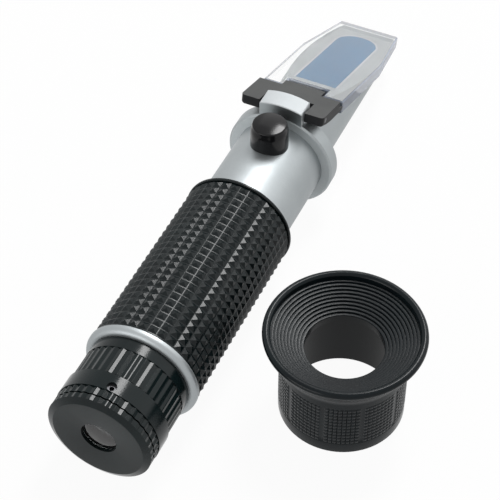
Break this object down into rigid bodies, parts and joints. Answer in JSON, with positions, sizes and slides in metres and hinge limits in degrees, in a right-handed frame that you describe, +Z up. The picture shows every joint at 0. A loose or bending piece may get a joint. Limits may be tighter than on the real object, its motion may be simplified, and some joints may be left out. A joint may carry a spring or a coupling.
{
  "type": "handheld brix refractometer",
  "caption": "Handheld optical refractometer with a hinged clear cover over an oblique prism, a knurled grip, a focusing eyepiece and a loose rubber eyecup.",
  "frame": {"origin": "on the ground plane, in the middle of the footprint of the instrument and its eyecup", "axes": "+Y along the optical axis from the eyepiece to the prism tip, +Z up, +X from the instrument towards the eyecup"},
  "size_m": [0.0786, 0.1699, 0.0347],
  "materials": {
    "satin_silver": "satin",
    "bright_silver": "machined",
    "grip_rubber": "moulded",
    "cup_rubber": "moulded",
    "cap_rubber": "glossy",
    "black_plastic": "moulded",
    "saddle_plastic": "moulded",
    "clear_plastic": "clear acrylic",
    "blue_glass": "polished",
    "lens_glass": "polished",
    "sealant": "matt",
    "black_metal": "blackened",
    "steel": "turned",
    "brass": "turned"
  },
  "bodies": {
    "body": {"main_tube": "satin_silver", "rubber_grip": "grip_rubber", "end_ring": "satin_silver", "barrel_key": "steel", "focus_clip": "steel", "prism_head": "satin_silver", "hinge_block": "bright_silver", "hinge_pin": "steel", "block_screws": "steel", "measuring_prism": "blue_glass", "prism_sealant": "sealant", "calibration_bush": "brass", "lens_guide": "black_metal", "bimetal_strip": "brass", "strip_screw": "steel", "strip_block": "brass", "reticle_cell": "black_metal", "reticle_disc": "lens_glass", "reticle_retainer": "black_metal", "light_baffle": "black_metal"},
    "cover": {"hinge_saddle": "saddle_plastic", "cover_plate": "clear_plastic"},
    "focus": {"focus_ring": "black_plastic"},
    "eyepiece": {"eyepiece_barrel": "black_metal", "eyepiece_band": "black_plastic", "eyepiece_cap": "black_plastic", "grub_screw": "steel", "eye_lens": "lens_glass", "lens_spacer": "black_metal", "field_lens": "lens_glass", "lens_retainer": "black_metal"},
    "lens_carrier": {"lens_cell": "black_metal", "objective_lens": "lens_glass"},
    "adjuster": {"calibration_screw": "brass"},
    "screw_cap": {"calibration_cap": "cap_rubber"},
    "cup": {"eyecup": "cup_rubber"}
  },
  "joints": [
    {"name": "cover_hinge", "type": "hinge", "parent": "body", "child": "cover", "pos_m": [-0.02407, 0.02212, 0.03175], "axis": [1, 0, 0], "range_deg": [0, 105]},
    {"name": "focus_turn", "type": "hinge", "parent": "body", "child": "focus", "pos_m": [-0.02407, -0.06997, 0.01525], "axis": [0, -1, 0], "range_deg": [0, 270]},
    {"name": "focus_travel", "type": "slide", "parent": "body", "child": "eyepiece", "axis": [0, -1, 0], "range_m": [0, 0.003]},
    {"name": "calibration_turn", "type": "hinge", "parent": "body", "child": "adjuster", "pos_m": [-0.02407, 0.01232, 0.02585], "axis": [0, 0, 1], "range_deg": [-180, 180]},
    {"name": "lens_shift", "type": "slide", "parent": "body", "child": "lens_carrier", "axis": [0, 0, 1], "range_m": [-0.00025, 0.00025]},
    {"name": "cap_pull", "type": "slide", "parent": "body", "child": "screw_cap", "axis": [0, 0, 1], "range_m": [0, 0.02]},
    {"name": "eyecup_lift", "type": "slide", "parent": "body", "child": "cup", "axis": [0, 0, 1], "range_m": [0, 0.06]}
  ],
  "couplings": [
    {"joint": "focus_turn", "follows": "focus_travel", "rad_per_m": 1570.8},
    {"joint": "calibration_turn", "follows": "lens_shift", "rad_per_m": 12566}
  ]
}
